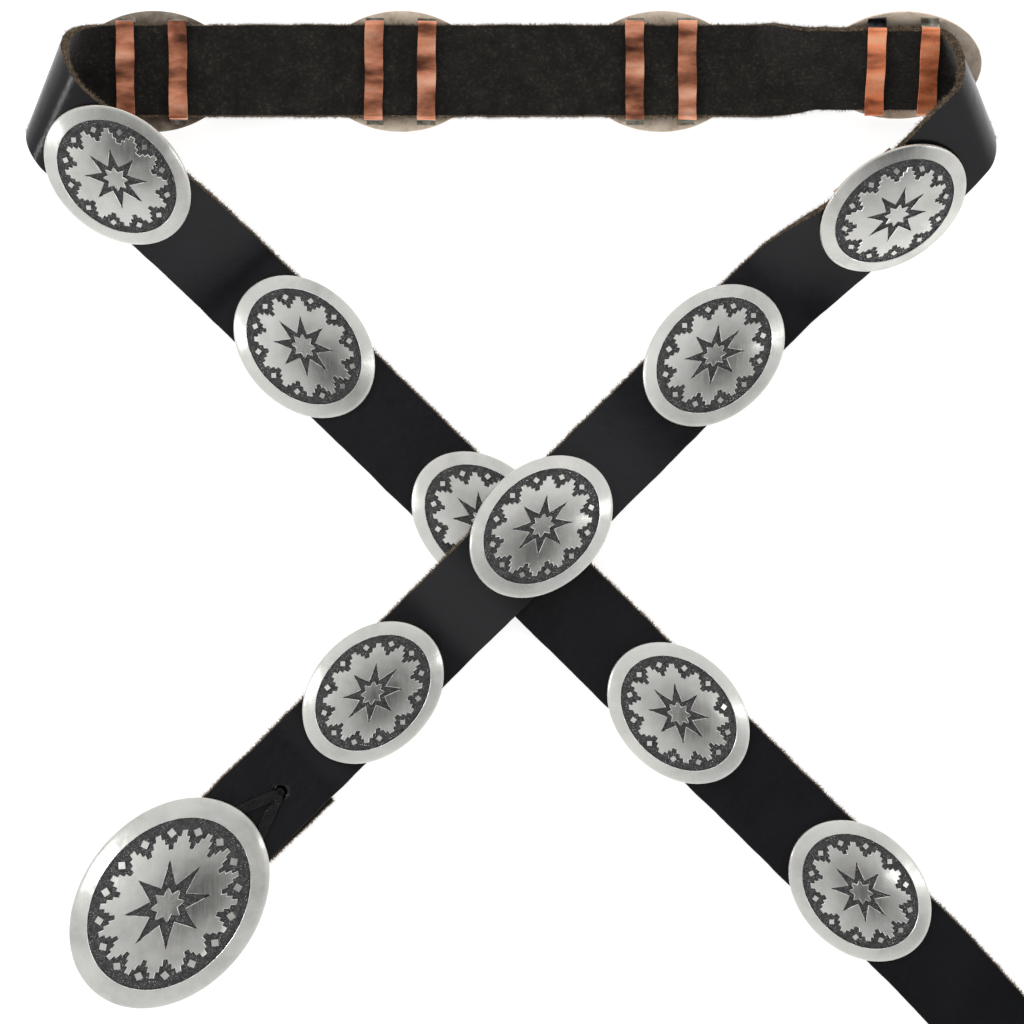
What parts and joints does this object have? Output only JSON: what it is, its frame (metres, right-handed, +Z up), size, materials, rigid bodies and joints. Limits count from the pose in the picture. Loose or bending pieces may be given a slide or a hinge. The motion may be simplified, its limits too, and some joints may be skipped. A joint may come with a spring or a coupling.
{
  "type": "concho belt",
  "caption": "Black leather belt with oval domed silver conchos on copper loops and a larger oval buckle, laid out in a crossed ribbon with its laced end under the buckle.",
  "frame": {"origin": "on the surface that the belt lies on, under the middle of its bounding box", "axes": "+X along the folded top run toward the fold beside concho_05, +Y from the buckle and the free end toward the top run, +Z up from the surface"},
  "size_m": [0.3718, 0.393, 0.0389],
  "materials": {
    "leather": "smooth blue-black face with a soft sheen, dark brown-black suede back",
    "lace_leather": "narrow black thong, slightly glossy",
    "silver": "satin silver plates with dark sunk ornament, and copper loops on their backs"
  },
  "bodies": {
    "root": {"strap": "leather", "concho_01": "silver", "concho_02": "silver", "concho_03": "silver", "concho_04": "silver", "concho_05": "silver", "concho_06": "silver", "concho_07": "silver", "concho_08": "silver", "concho_09": "silver", "concho_10": "silver", "concho_11": "silver", "concho_12": "silver", "concho_13": "silver", "buckle": "silver", "lace": "lace_leather"}
  },
  "joints": []
}
